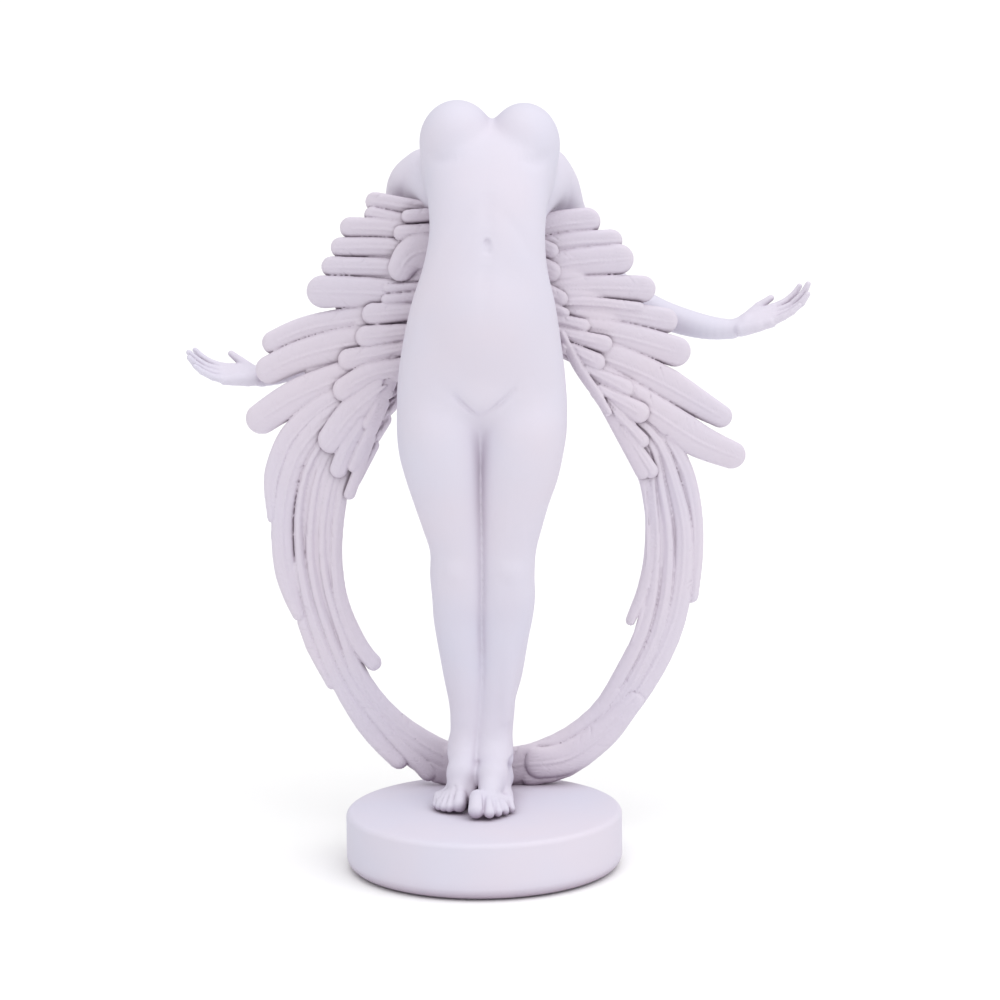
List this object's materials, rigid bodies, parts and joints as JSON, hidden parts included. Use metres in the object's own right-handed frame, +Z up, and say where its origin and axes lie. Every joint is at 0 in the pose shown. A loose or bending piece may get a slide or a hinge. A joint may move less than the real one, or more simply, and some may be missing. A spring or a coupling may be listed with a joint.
{
  "type": "resin angel figurine",
  "caption": "Standing winged figure leaning back on a round base, with two long feathered wings that curve down to form an open ring behind it.",
  "frame": {"origin": "centre of the underside of the round base, on the felt pad's lower face", "axes": "+Z up, -Y towards the viewer who faces the figure, +X to the figure's own left"},
  "size_m": [0.2282, 0.1478, 0.2755],
  "materials": {
    "resin": "matte unglazed cast resin, off-white with a cool lilac tint",
    "felt": "short pile felt",
    "steel": "plain drawn wire"
  },
  "bodies": {
    "root": {"base": "resin", "felt_pad": "felt", "figure": "resin", "head": "resin", "left_arm": "resin", "right_arm": "resin", "left_wing": "resin", "right_wing": "resin", "left_leg_rod": "steel", "right_leg_rod": "steel", "left_shoulder_pin": "steel", "right_shoulder_pin": "steel", "neck_pin": "steel", "left_wing_foot_pin": "steel", "right_wing_foot_pin": "steel"}
  },
  "joints": []
}
